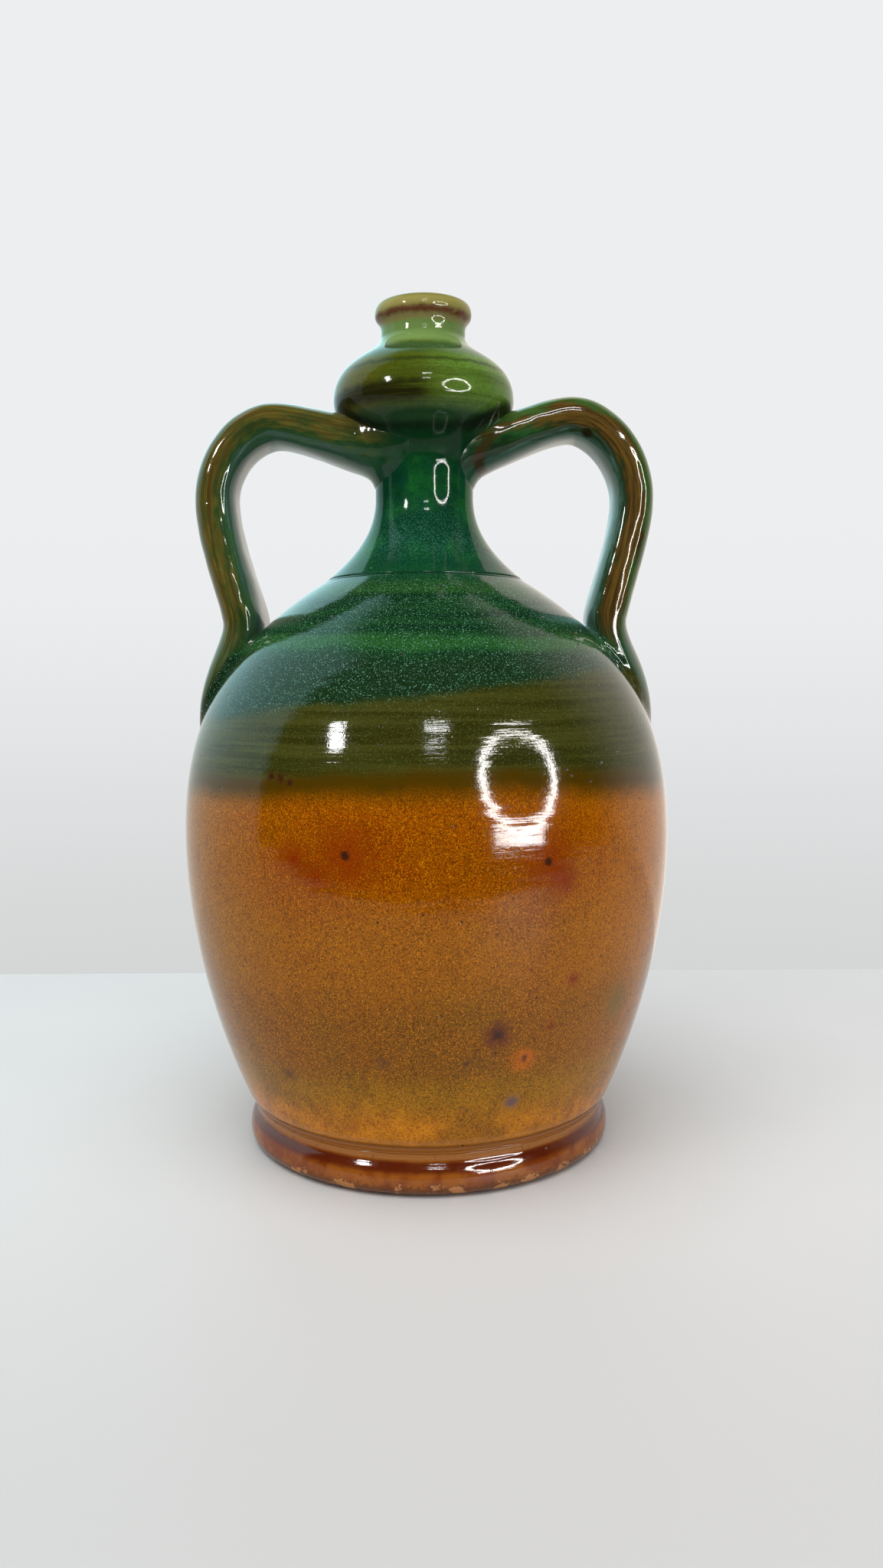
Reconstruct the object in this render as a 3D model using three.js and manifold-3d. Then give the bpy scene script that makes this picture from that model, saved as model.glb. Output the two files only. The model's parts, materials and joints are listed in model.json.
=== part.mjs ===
// A two-handled glazed pottery jug, in the pieces a potter makes one by one and sticks together
// with slip: thrown body, thrown neck with its bulb and lip, foot ring and two pulled handles.
// Millimetres, +Z up, origin in the middle of the foot's resting face, handles along X, front at -Y.
import * as THREE from 'three';
import { mergeVertices } from 'three/addons/utils/BufferGeometryUtils.js';
import Module from 'manifold-3d';

const JUG_HEIGHT = 260;

// Foot ring
const FOOT_RADIUS = 57.6;          // widest part of the flange
const FOOT_EDGE_RADIUS = 52.4;     // outer edge of the resting face
const FOOT_INNER_RADIUS = 44;      // inside of the ring, round the base's spigot
const FOOT_CHAMFER = 2;            // inner edge of the resting face
const FOOT_HEIGHT = 13;            // table to the joint in the cove under the belly
const FOOT_RECESS = 4;             // hollow between the table and the base
const FLANGE_HEIGHT = 3.8;         // flange's widest part above the table
const FLANGE_FACE = 7;             // sloping face from there up to the cove
const COVE_RADIUS = 55.6;          // hollow between the flange and the belly's edge

// Body
const GROOVE_RADIUS = 58.2;        // belly's lower edge, which stands over the groove
const GROOVE_LIFT = 2.8;           // foot joint to that edge
const BELLY_RADIUS = 75.9;
const BELLY_RISE = 80.2;           // groove to the widest part
const SEAM_RADIUS = 31;            // outside of the collar that carries the neck
const COLLAR_WALL = 8;
const BODY_WALL = 6;
const FLOOR_THICKNESS = 10;
const SPRING_OUT = 9.1;            // wall's lean as it springs from the groove
const SPRING_UP = 20.5;
const FULLNESS_BELOW = 29.6;       // how far the wall stays near its widest
const FULLNESS_ABOVE = 34;
const SHOULDER_RUN = 33.8;         // shoulder's slope into the seam
const SHOULDER_FALL = 20.8;

// Neck
const NECK_RADIUS = 15.3;
const NECK_RISE = 26;              // seam to the straight waist
const WAIST_LENGTH = 5;
const BULB_RADIUS = 28;
const BULB_RISE = 24;              // waist to the bulb's widest part
const CROWN_RISE = 19;             // bulb's widest part to the upper neck
const UPPER_NECK_RADIUS = 13;
const UPPER_NECK_LENGTH = 2;
const LIP_RADIUS = 15;
const LIP_HEIGHT = 8.5;
const LIP_ROLL = 3.2;              // rounding over the lip's top
const MOUTH_RADIUS = 9.5;
const NECK_WALL = 5;
const FLARE_RUN = 10;              // neck's flare as it leaves the seam
const FLARE_CLIMB = 8.6;
const FLARE_EASE = 10;             // flare into the waist
const BULB_UNDERCUT = 13;          // waist into the bulb's underside
const BULB_FULLNESS_BELOW = 9;
const BULB_FULLNESS_ABOVE = 12;
const CROWN_RUN = 2.3;             // crown's hollow under the upper neck
const CROWN_FALL = 6.2;

// Handles
const HANDLE_WIDTH = 22;           // strap's broad side, along Y
const HANDLE_THICKNESS = 13;
const ROOT_WIDTH = 28;             // where the strap is pressed round the neck
const ROOT_THICKNESS = 20;
const ROOT_DROP = 18.5;            // upper root below the bulb's widest part
const ROOT_RUN = 12;               // strap's direction as it leaves the neck
const ROOT_CLIMB = 6.5;
const CREST_RADIUS = 45.5;         // top of the bend, from the jug's axis
const CREST_DROP = 5.5;            // strap's middle there, below the bulb's widest part
const LEFT_CREST_LOWER = 1.4;      // left handle's crest below the right one's
const CREST_EASE = 9.8;            // roundness of the bend on both sides of the crest
const REACH = 64.8;                // strap's middle at its farthest from the axis
const REACH_LIFT = 25.5;           // that place above the neck seam
const REACH_EASE = 11.7;
const KNEE_DROP = 10.5;            // where the strap bends onto the shoulder, below the seam
const KNEE_STANDOFF = 11.3;        // strap's middle off the shoulder at the knee
const KNEE_LEAN = 2.5;             // strap's lean into the knee
const KNEE_EASE = 11;
const TAIL_WIDTH = 32;
const TAIL_DROP = 50;              // tail's end below the seam
const TAIL_EASE = 20;
const TAIL_END_WIDTH = 16;
const TAIL_END_THICKNESS = 6;
const TAIL_SINK = 4;               // tail's end below the shoulder's surface
const STRAP_CROWN = 1;             // outer half of the section: 1 is an ellipse, less is boxier
const STRAP_FLATNESS = 0.62;       // inner half, pressed flat by the fingers

// Joints
const SLIP = 0.8;                  // thickness of a slip layer
const CLEARANCE = 0.3;             // kept on each side of a slip pad under a handle
const TONGUE_DEPTH = 2.4;          // neck's tongue in the collar's groove
const TONGUE_WIDTH = 4;

const TURNED_SIDES = 44;
const STRAP_SIDES = 14;
const STRAP_STATIONS = 9;          // along each of the strap's bends

// Heights above the table
const floorZ = FOOT_RECESS + FLOOR_THICKNESS;
const grooveZ = FOOT_HEIGHT + GROOVE_LIFT;
const bellyZ = grooveZ + BELLY_RISE;
const lipZ = JUG_HEIGHT - LIP_HEIGHT;
const upperNeckZ = lipZ - UPPER_NECK_LENGTH;
const bulbZ = upperNeckZ - CROWN_RISE;
const waistTopZ = bulbZ - BULB_RISE;
const waistZ = waistTopZ - WAIST_LENGTH;
const seamZ = waistZ - NECK_RISE;

const wasm = await Module();
wasm.setup();

const glaze = (color) => new THREE.MeshStandardMaterial({ color, roughness: 0.15, metalness: 0 });
const clay = (color) => new THREE.MeshStandardMaterial({ color, roughness: 0.8, metalness: 0 });

function plain(geometry) {
  geometry.deleteAttribute('normal');
  geometry.deleteAttribute('uv');
  return mergeVertices(geometry, 1e-4);
}

// Turns an outline of (radius, height) points round the jug's axis.
function turned(points) {
  const geometry = new THREE.LatheGeometry(points, TURNED_SIDES);
  geometry.rotateX(Math.PI / 2);
  return plain(geometry);
}

function solid(geometry) {
  return new wasm.Manifold(new wasm.Mesh({
    numProp: 3,
    vertProperties: new Float32Array(geometry.attributes.position.array),
    triVerts: new Uint32Array(geometry.index.array),
  }));
}

function geometryOf(manifold) {
  const mesh = manifold.getMesh();
  const geometry = new THREE.BufferGeometry();
  geometry.setAttribute('position', new THREE.BufferAttribute(new Float32Array(mesh.vertProperties), 3));
  geometry.setIndex(new THREE.BufferAttribute(new Uint32Array(mesh.triVerts), 1));
  return geometry;
}

const at = (radius, height) => new THREE.Vector2(radius, height);

// Belly and shoulder, from the groove up to the seam.
function bodyOutline(divisions) {
  return new THREE.Path()
    .moveTo(GROOVE_RADIUS, grooveZ)
    .bezierCurveTo(GROOVE_RADIUS + SPRING_OUT, grooveZ + SPRING_UP,
      BELLY_RADIUS, bellyZ - FULLNESS_BELOW, BELLY_RADIUS, bellyZ)
    .bezierCurveTo(BELLY_RADIUS, bellyZ + FULLNESS_ABOVE,
      SEAM_RADIUS + SHOULDER_RUN, seamZ - SHOULDER_FALL, SEAM_RADIUS, seamZ)
    .getPoints(divisions);
}

// Flared neck and bulb, from the seam up to the upper neck.
function neckOutline(divisions) {
  return new THREE.Path()
    .moveTo(SEAM_RADIUS, seamZ)
    .bezierCurveTo(SEAM_RADIUS - FLARE_RUN, seamZ + FLARE_CLIMB,
      NECK_RADIUS, waistZ - FLARE_EASE, NECK_RADIUS, waistZ)
    .lineTo(NECK_RADIUS, waistTopZ)
    .bezierCurveTo(NECK_RADIUS, waistTopZ + BULB_UNDERCUT,
      BULB_RADIUS, bulbZ - BULB_FULLNESS_BELOW, BULB_RADIUS, bulbZ)
    .bezierCurveTo(BULB_RADIUS, bulbZ + BULB_FULLNESS_ABOVE,
      UPPER_NECK_RADIUS + CROWN_RUN, upperNeckZ - CROWN_FALL, UPPER_NECK_RADIUS, upperNeckZ)
    .getPoints(divisions);
}

// Outline moved outwards by `growth` along its own normals.
function grown(outline, growth) {
  return outline.map((p, i) => {
    const before = outline[Math.max(i - 1, 0)];
    const after = outline[Math.min(i + 1, outline.length - 1)];
    const run = after.clone().sub(before).normalize();
    return at(p.x + run.y * growth, p.y - run.x * growth);
  });
}

function radiusAt(outline, height) {
  const above = outline.findIndex((p) => p.y >= height);
  const [low, high] = [outline[above - 1], outline[above]];
  return low.x + (high.x - low.x) * (height - low.y) / (high.y - low.y);
}

// V-shaped run of the seam from outside to inside, `lift` above the collar's rim.
const seam = (lift) => {
  const middle = SEAM_RADIUS - COLLAR_WALL / 2;
  return [
    at(SEAM_RADIUS, seamZ + lift),
    at(middle + TONGUE_WIDTH / 2, seamZ + lift),
    at(middle, seamZ - TONGUE_DEPTH + lift),
    at(middle - TONGUE_WIDTH / 2, seamZ + lift),
    at(SEAM_RADIUS - COLLAR_WALL, seamZ + lift),
  ];
};

// Stepped run of the foot joint from outside to the base's underside, `inset` into the base.
const footStep = (inset) => [
  at(COVE_RADIUS, FOOT_HEIGHT - SLIP + inset),
  at(FOOT_INNER_RADIUS - inset, FOOT_HEIGHT - SLIP + inset),
  at(FOOT_INNER_RADIUS - inset, FOOT_RECESS),
];

// Hollow body: base with its spigot, groove, outside wall, grooved collar, inside wall and floor.
function bodyGeometry() {
  const inside = grown(bodyOutline(6), -BODY_WALL).reverse();
  return turned([
    at(0, FOOT_RECESS), ...footStep(SLIP).reverse(), at(COVE_RADIUS, grooveZ), ...bodyOutline(9),
    ...seam(0).slice(1), ...inside, at(FOOT_INNER_RADIUS, floorZ), at(0, floorZ),
  ]);
}

// Neck from its tongue up the outside, over the lip and down the bore.
function neckGeometry() {
  const lip = new THREE.Path()
    .moveTo(UPPER_NECK_RADIUS, upperNeckZ)
    .lineTo(UPPER_NECK_RADIUS, lipZ)
    .bezierCurveTo(UPPER_NECK_RADIUS, lipZ + LIP_ROLL, LIP_RADIUS, lipZ + LIP_ROLL,
      LIP_RADIUS, JUG_HEIGHT - LIP_ROLL)
    .quadraticCurveTo(LIP_RADIUS, JUG_HEIGHT, LIP_RADIUS - LIP_ROLL, JUG_HEIGHT)
    .quadraticCurveTo(MOUTH_RADIUS, JUG_HEIGHT, MOUTH_RADIUS, JUG_HEIGHT - LIP_ROLL)
    .getPoints(3);
  const boreRadius = NECK_RADIUS - NECK_WALL;
  const hollowRadius = BULB_RADIUS - NECK_WALL;
  const collarRadius = SEAM_RADIUS - COLLAR_WALL;
  const bore = new THREE.Path()
    .moveTo(MOUTH_RADIUS, JUG_HEIGHT - LIP_ROLL)
    .lineTo(MOUTH_RADIUS, upperNeckZ - NECK_WALL)
    .bezierCurveTo(MOUTH_RADIUS + CROWN_RUN, upperNeckZ - NECK_WALL - CROWN_FALL,
      hollowRadius, bulbZ + BULB_FULLNESS_ABOVE - NECK_WALL / 2, hollowRadius, bulbZ)
    .bezierCurveTo(hollowRadius, bulbZ - BULB_FULLNESS_BELOW,
      boreRadius, waistTopZ + BULB_UNDERCUT, boreRadius, waistTopZ)
    .lineTo(boreRadius, waistZ - NECK_WALL)
    .bezierCurveTo(boreRadius, waistZ - NECK_WALL - FLARE_EASE,
      collarRadius - FLARE_RUN, seamZ + FLARE_CLIMB, collarRadius, seamZ + SLIP)
    .getPoints(4);
  return turned([
    ...seam(SLIP).reverse(), ...neckOutline(6).slice(1), ...lip.slice(1), ...bore.slice(1),
  ]);
}

// Flanged ring: rounded edge, sloping face and the lower half of the cove.
function footGeometry() {
  const coveZ = FLANGE_HEIGHT + FLANGE_FACE;
  const flange = new THREE.Path()
    .moveTo(FOOT_INNER_RADIUS + FOOT_CHAMFER, 0)
    .lineTo(FOOT_EDGE_RADIUS, 0)
    .quadraticCurveTo(FOOT_RADIUS, 0, FOOT_RADIUS, FLANGE_HEIGHT)
    .quadraticCurveTo(FOOT_RADIUS, FLANGE_HEIGHT + FLANGE_FACE / 2, COVE_RADIUS, coveZ)
    .lineTo(COVE_RADIUS, FOOT_HEIGHT - SLIP)
    .getPoints(4);
  return turned([
    ...flange, ...footStep(0).slice(1), at(FOOT_INNER_RADIUS, FOOT_CHAMFER), flange[0],
  ]);
}

// Seam ring that fills the groove between collar and neck.
function neckSlipGeometry() {
  return turned([...seam(0).reverse(), ...seam(SLIP), at(SEAM_RADIUS - COLLAR_WALL, seamZ)]);
}

// Angled ring that fills the step between base and foot.
function footSlipGeometry() {
  return turned([...footStep(0).reverse(), ...footStep(SLIP), footStep(0)[2]]);
}

// Middle line of a strap: out of the neck, over the crest, down to the knee and along the shoulder.
function strapLine(side) {
  const left = side === 'left';
  const shoulder = bodyOutline(24);
  const rootZ = bulbZ - ROOT_DROP;
  const crestZ = bulbZ - CREST_DROP - (left ? LEFT_CREST_LOWER : 0);
  const reachZ = seamZ + REACH_LIFT;
  const kneeZ = seamZ - KNEE_DROP;
  const kneeR = radiusAt(shoulder, kneeZ) + KNEE_STANDOFF;
  const tailZ = seamZ - TAIL_DROP;
  const tailR = radiusAt(shoulder, tailZ) - TAIL_SINK;
  const rootR = NECK_RADIUS - NECK_WALL;
  const point = (radius, height) => new THREE.Vector3(left ? -radius : radius, 0, height);
  const line = new THREE.CurvePath();
  const bend = (a, b, c, d) => line.add(new THREE.CubicBezierCurve3(a, b, c, d));
  const crest = point(CREST_RADIUS, crestZ);
  const reach = point(REACH, reachZ);
  const knee = point(kneeR, kneeZ);
  bend(point(rootR, rootZ), point(rootR + ROOT_RUN, rootZ + ROOT_CLIMB),
    point(CREST_RADIUS - CREST_EASE, crestZ), crest);
  bend(crest, point(CREST_RADIUS + CREST_EASE, crestZ), point(REACH, reachZ + REACH_EASE), reach);
  bend(reach, point(REACH, reachZ - REACH_EASE), point(kneeR + KNEE_LEAN, kneeZ + KNEE_EASE), knee);
  bend(knee, point(kneeR - KNEE_LEAN, kneeZ - KNEE_EASE), point(tailR, tailZ + TAIL_EASE),
    point(tailR, tailZ));
  return line;
}

// Section sizes [width, thickness] at the root, crest, reach, knee and tail of the strap.
const STRAP_SECTIONS = [
  [ROOT_WIDTH, ROOT_THICKNESS],
  [HANDLE_WIDTH, HANDLE_THICKNESS],
  [HANDLE_WIDTH, HANDLE_THICKNESS],
  [TAIL_WIDTH, HANDLE_THICKNESS],
  [TAIL_END_WIDTH, TAIL_END_THICKNESS],
];

// Strap swept along its middle line: flat inside, crowned outside, with sizes that change on the way.
function strapGeometry(side) {
  const line = strapLine(side);
  const positions = [];
  const index = [];
  const rings = line.curves.length * STRAP_STATIONS + 1;
  for (let i = 0; i < rings; i += 1) {
    const bend = Math.min(Math.floor(i / STRAP_STATIONS), line.curves.length - 1);
    const t = i / STRAP_STATIONS - bend;
    const curve = line.curves[bend];
    const centre = curve.getPoint(t);
    const along = curve.getTangent(t);
    const across = new THREE.Vector3(-along.z, 0, along.x);
    // The root narrows to the plain strap early, the tail keeps its width until late.
    const s = bend === 0 ? 1 - (1 - t) ** 3 : bend === 3 ? t ** 3 : t * t * (3 - 2 * t);
    const [w0, h0] = STRAP_SECTIONS[bend];
    const [w1, h1] = STRAP_SECTIONS[bend + 1];
    const [width, thickness] = [w0 + (w1 - w0) * s, h0 + (h1 - h0) * s];
    for (let k = 0; k < STRAP_SIDES; k += 1) {
      const angle = 2 * Math.PI * k / STRAP_SIDES;
      const outer = side === 'left' ? Math.sin(angle) < 0 : Math.sin(angle) > 0;
      const squareness = outer ? STRAP_CROWN : STRAP_FLATNESS;
      const u = Math.sign(Math.cos(angle)) * Math.abs(Math.cos(angle)) ** squareness;
      const v = Math.sign(Math.sin(angle)) * Math.abs(Math.sin(angle)) ** squareness;
      const p = centre.clone().addScaledVector(across, v * thickness / 2);
      positions.push(p.x, p.y + u * width / 2, p.z);
    }
  }
  const ring = (i, k) => i * STRAP_SIDES + (k % STRAP_SIDES);
  for (let i = 0; i < rings - 1; i += 1) {
    for (let k = 0; k < STRAP_SIDES; k += 1) {
      index.push(ring(i, k), ring(i, k + 1), ring(i + 1, k));
      index.push(ring(i, k + 1), ring(i + 1, k + 1), ring(i + 1, k));
    }
  }
  for (const [i, flip] of [[0, true], [rings - 1, false]]) {
    for (let k = 1; k < STRAP_SIDES - 1; k += 1) {
      const cap = [ring(i, 0), ring(i, k), ring(i, k + 1)];
      index.push(...(flip ? cap.reverse() : cap));
    }
  }
  const geometry = new THREE.BufferGeometry();
  geometry.setAttribute('position', new THREE.Float32BufferAttribute(positions, 3));
  geometry.setIndex(index);
  return geometry;
}

// Solid shape of body and neck, grown by `growth`, that a strap is fitted against.
function envelope(growth) {
  const outline = grown([...bodyOutline(9), ...neckOutline(6).slice(1)], growth);
  return solid(turned([at(0, outline[0].y), ...outline, at(0, outline[outline.length - 1].y)]));
}

function slab(low, high) {
  const size = 4 * BELLY_RADIUS;
  const box = new THREE.BoxGeometry(size, size, high - low);
  box.translate(0, 0, (low + high) / 2);
  return solid(plain(box));
}

const jug = new THREE.Group();
function place(name, geometry, material) {
  const mesh = new THREE.Mesh(geometry, material);
  mesh.name = name;
  jug.add(mesh);
}

place('body', bodyGeometry(), glaze(0xa8641a));
place('neck', neckGeometry(), glaze(0x1f6b34));
place('foot_ring', footGeometry(), glaze(0x8a3f14));
place('neck_slip_joint', neckSlipGeometry(), clay(0x0d4634));
place('foot_slip_joint', footSlipGeometry(), clay(0x5a2b10));

const handleFit = envelope(2 * CLEARANCE + SLIP);
const padTop = envelope(CLEARANCE + SLIP);
const padBottom = envelope(CLEARANCE);
const upperPart = slab(waistZ - NECK_RISE / 2, JUG_HEIGHT);
const lowerPart = slab(0, waistZ - NECK_RISE / 2);
for (const side of ['left', 'right']) {
  const whole = solid(strapGeometry(side));
  const pads = whole.intersect(padTop).subtract(padBottom);
  place(`handle_${side}`, geometryOf(whole.subtract(handleFit)), glaze(0x3c5a22));
  place(`${side}_handle_upper_slip`, geometryOf(pads.intersect(upperPart)), clay(0x2a4a1c));
  place(`${side}_handle_lower_slip`, geometryOf(pads.intersect(lowerPart)), clay(0x2a4a1c));
}

export default jug;
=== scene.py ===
# %% [markdown]
# # A glazed pottery jug
#
# The jug is thrown and pulled clay: a belly, a gourd-shaped neck and a foot ring come off the wheel, and
# two straps are pulled by hand and pressed on while the clay is soft. The pieces below follow that order.
# Each is modelled at its real place and size, over the measured frame that is loaded first, so nothing has
# to be moved at the end. Outlines are in millimetres and become metres when a mesh is made.

# %% Load the measured frame
import json
import math

import bpy
from mathutils import Matrix, Vector

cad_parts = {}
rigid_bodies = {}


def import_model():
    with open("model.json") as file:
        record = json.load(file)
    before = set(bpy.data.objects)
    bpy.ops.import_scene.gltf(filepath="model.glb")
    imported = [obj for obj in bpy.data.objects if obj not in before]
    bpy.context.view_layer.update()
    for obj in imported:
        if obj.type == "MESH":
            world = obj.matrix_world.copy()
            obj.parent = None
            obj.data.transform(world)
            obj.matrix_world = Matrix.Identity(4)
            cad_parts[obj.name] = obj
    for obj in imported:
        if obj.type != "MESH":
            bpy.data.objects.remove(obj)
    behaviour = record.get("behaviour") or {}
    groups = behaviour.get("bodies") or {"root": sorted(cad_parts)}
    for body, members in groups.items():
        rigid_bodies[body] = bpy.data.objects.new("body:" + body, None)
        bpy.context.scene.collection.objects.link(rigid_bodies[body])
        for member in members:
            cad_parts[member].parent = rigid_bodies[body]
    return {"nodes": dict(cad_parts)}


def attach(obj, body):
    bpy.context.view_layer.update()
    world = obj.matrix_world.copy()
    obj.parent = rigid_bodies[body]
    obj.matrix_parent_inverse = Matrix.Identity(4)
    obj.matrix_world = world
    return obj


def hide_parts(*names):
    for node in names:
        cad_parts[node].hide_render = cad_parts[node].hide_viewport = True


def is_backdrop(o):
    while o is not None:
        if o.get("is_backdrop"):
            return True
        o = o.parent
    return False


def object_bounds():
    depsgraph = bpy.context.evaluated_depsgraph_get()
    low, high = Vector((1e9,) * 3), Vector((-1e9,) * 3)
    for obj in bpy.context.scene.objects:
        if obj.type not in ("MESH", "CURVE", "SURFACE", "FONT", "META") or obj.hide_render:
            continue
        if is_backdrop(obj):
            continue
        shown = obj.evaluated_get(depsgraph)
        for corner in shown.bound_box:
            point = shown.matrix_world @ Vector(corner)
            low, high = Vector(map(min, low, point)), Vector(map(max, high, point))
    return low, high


for leftover in list(bpy.context.scene.objects):
    bpy.data.objects.remove(leftover)
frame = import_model()
cad_low, cad_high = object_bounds()
MM = 0.001
JUG_HEIGHT = round(cad_high.z / MM, 1)
BELLY_RADIUS = round(cad_high.x / MM, 1)
print("frame:", sorted(frame["nodes"]), "height", JUG_HEIGHT, "mm, belly radius", BELLY_RADIUS, "mm")

# %% [markdown]
# ## Wiring nodes in few words
#
# Both the shapes and the glazes are node trees. Typing every node and link out would hide the idea behind
# the book-keeping, so a small helper adds a node, fills its inputs with numbers or other nodes' outputs and
# gives the output back: a formula then reads almost like arithmetic. Colours are written as they are seen,
# from 0 to 255. `wash` lays coats of colour on, as a brush does: a coat is where it lies, how strong it is
# and its colour.


# %% A helper that adds and joins nodes
def tint(red, green, blue):
    linear = []
    for seen in (red, green, blue):
        share = seen / 255
        linear.append(share / 12.92 if seen < 11 else ((share + 0.055) / 1.055) ** 2.4)
    return (*linear, 1.0)


class Wires:
    FACTOR, UNDER, OVER, MIXED = 0, 6, 7, 2  # the sockets of a Mix node that mixes colours

    def __init__(self, tree):
        self.tree = tree

    def add(self, kind, inputs=None, **settings):
        made = self.tree.nodes.new(kind)
        for name, value in settings.items():
            setattr(made, name, value)
        for key, value in (inputs or {}).items():
            if isinstance(value, bpy.types.NodeSocket):
                self.tree.links.new(value, made.inputs[key])
            else:
                made.inputs[key].default_value = value
        return made

    def get(self, kind, inputs=None, **settings):
        return self.add(kind, inputs, **settings).outputs[0]

    def math(self, operation, a, b=0.0, c=0.0):
        return self.get("ShaderNodeMath", {0: a, 1: b, 2: c}, operation=operation)

    def times(self, a, b):
        return self.math("MULTIPLY", a, b)

    def plus(self, a, b):
        return self.math("ADD", a, b)

    def less(self, a, b):
        return self.math("SUBTRACT", a, b)

    def vector(self, operation, a, b=(0.0, 0.0, 0.0)):
        made = self.add("ShaderNodeVectorMath", {0: a, 1: b}, operation=operation)
        return made.outputs["Value" if operation in ("DOT_PRODUCT", "DISTANCE", "LENGTH") else "Vector"]

    def scaled(self, a, amount):
        made = self.add("ShaderNodeVectorMath", {0: a, "Scale": amount}, operation="SCALE")
        return made.outputs["Vector"]

    def join_xyz(self, x, y, z):
        return self.get("ShaderNodeCombineXYZ", {0: x, 1: y, 2: z})

    def axes(self, place):
        return self.add("ShaderNodeSeparateXYZ", {0: place}).outputs

    def place_in_mm(self):
        return self.scaled(self.add("ShaderNodeTexCoord").outputs["Object"], 1 / MM)

    def step(self, value, low, high):
        return self.get("ShaderNodeMapRange", {0: value, 1: low, 2: high}, interpolation_type="SMOOTHSTEP")

    def noise(self, place, scale, detail=2.0, rough=0.5):
        inputs = {"Vector": place, "Scale": scale, "Detail": detail, "Roughness": rough}
        return self.get("ShaderNodeTexNoise", inputs)

    def mix(self, fraction, under, over):
        inputs = {self.FACTOR: fraction, self.UNDER: under, self.OVER: over}
        return self.add("ShaderNodeMix", inputs, data_type="RGBA").outputs[self.MIXED]

    def wash(self, colour, *coats):
        for where, strength, shade in coats:
            colour = self.mix(self.times(where, strength), colour, tint(*shade))
        return colour

    def surface(self, shader, inputs, end="Material"):
        self.add("ShaderNodeOutput" + end, {"Surface": self.get(shader, inputs)})


def inputs_of(tree, **kinds):
    for name, kind in kinds.items():
        tree.interface.new_socket(name.replace("_", " "), in_out="INPUT", socket_type="NodeSocket" + kind)
    return Wires(tree), tree.nodes.new("NodeGroupInput").outputs


def count_nodes(tree):
    print(tree.name, "has", len(tree.nodes), "nodes")


# %% [markdown]
# ## Throwing on the wheel
#
# Belly, neck, foot and the slip in their seams are all round. A Screw modifier or a spun mesh could turn an
# outline, but hand-thrown clay is never quite round, and a Geometry Nodes tree can add that in the same
# step: it lays a grid, reads one point of the outline for each row and bends the rows into circles whose
# radius wanders a little. The first and last columns meet and are merged, and so are the points on the
# axis.

# %% The wheel: a tree that turns an outline
WELD = 0.01 * MM
STEADY_RADIUS = 0.02  # closer to the axis than this, in metres, the wobble fades out
WANDER_AROUND, WANDER_UP = 0.9, 9.0  # how soon the wobble changes round the jug and up its wall
wheel = bpy.data.node_groups.new("thrown_on_the_wheel", "GeometryNodeTree")
w, given = inputs_of(wheel, Outline="Geometry", Turns="Int", Wobble="Float", Glaze="Material")
wheel.interface.new_socket("Piece", in_out="OUTPUT", socket_type="NodeSocketGeometry")
outline_rows = w.add("GeometryNodeAttributeDomainSize", {0: given["Outline"]}).outputs["Point Count"]
columns = w.plus(given["Turns"], 1.0)
grid = w.add("GeometryNodeMeshGrid", {
    "Size X": 1.0, "Size Y": 1.0, "Vertices X": columns, "Vertices Y": outline_rows})
index = w.get("GeometryNodeInputIndex")
row = w.math("MODULO", index, outline_rows)
column = w.math("FLOOR", w.math("DIVIDE", index, outline_rows))
turn = w.times(column, w.math("DIVIDE", math.tau, given["Turns"]))
cosine, sine = w.math("COSINE", turn), w.math("SINE", turn)
inputs = {"Geometry": given["Outline"], "Value": w.get("GeometryNodeInputPosition"), "Index": row}
on_outline = w.axes(w.get("GeometryNodeSampleIndex", inputs, data_type="FLOAT_VECTOR", domain="POINT"))
around = w.join_xyz(cosine, sine, w.times(on_outline["Z"], WANDER_UP))
wander = w.times(w.less(w.noise(around, WANDER_AROUND, 1.0), 0.5), given["Wobble"])
radius = w.plus(on_outline["X"], w.times(wander, w.step(on_outline["X"], 0.0, STEADY_RADIUS)))
place = w.join_xyz(w.times(radius, cosine), w.times(radius, sine), on_outline["Z"])
bent = w.get("GeometryNodeSetPosition", {"Geometry": grid.outputs["Mesh"], "Position": place})


def end_of_tree(w, given, shape, output):
    smooth = w.get("GeometryNodeSetShadeSmooth", {"Geometry": shape})
    real = w.get("GeometryNodeRealizeInstances", {"Geometry": smooth})
    glazed = w.get("GeometryNodeSetMaterial", {"Geometry": real, "Material": given["Glaze"]})
    w.add("NodeGroupOutput", {output: glazed})


closed = w.get("GeometryNodeMergeByDistance", {"Geometry": bent, "Distance": WELD})
end_of_tree(w, given, closed, "Piece")
count_nodes(wheel)

# %% [markdown]
# A modifier keeps its values under each socket's identifier, so the next helper looks the identifier up by
# the input's name. After that the evaluated shape becomes a plain mesh and the modifier goes, because a
# finished piece has to be an ordinary mesh that sits at the origin.


# %% Running a tree and keeping its result
def in_scene(name, data):
    made = bpy.data.objects.new(name, data)
    bpy.context.scene.collection.objects.link(made)
    return made


def run_tree(name, start_mesh, tree, **values):
    piece = in_scene(name, start_mesh)
    modifier = piece.modifiers.new(tree.name, "NODES")
    modifier.node_group = tree
    for item in tree.interface.items_tree:
        wanted = values.get(item.name.replace(" ", "_"))
        if item.in_out == "INPUT" and wanted is not None:
            modifier[item.identifier] = wanted
    graph = bpy.context.evaluated_depsgraph_get()
    shaped = piece.evaluated_get(graph)
    made = bpy.data.meshes.new_from_object(shaped, preserve_all_data_layers=True, depsgraph=graph)
    piece.modifiers.clear()
    piece.data = made
    made.name = name
    print(name, len(made.polygons), "faces")
    return piece


def line_mesh(name, points, **attributes):
    mesh = bpy.data.meshes.new(name)
    mesh.from_pydata(points, [(i, i + 1) for i in range(len(points) - 1)], [])
    for attribute, values in attributes.items():
        mesh.attributes.new(attribute, "FLOAT", "POINT").data.foreach_set("value", values)
    return mesh


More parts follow.
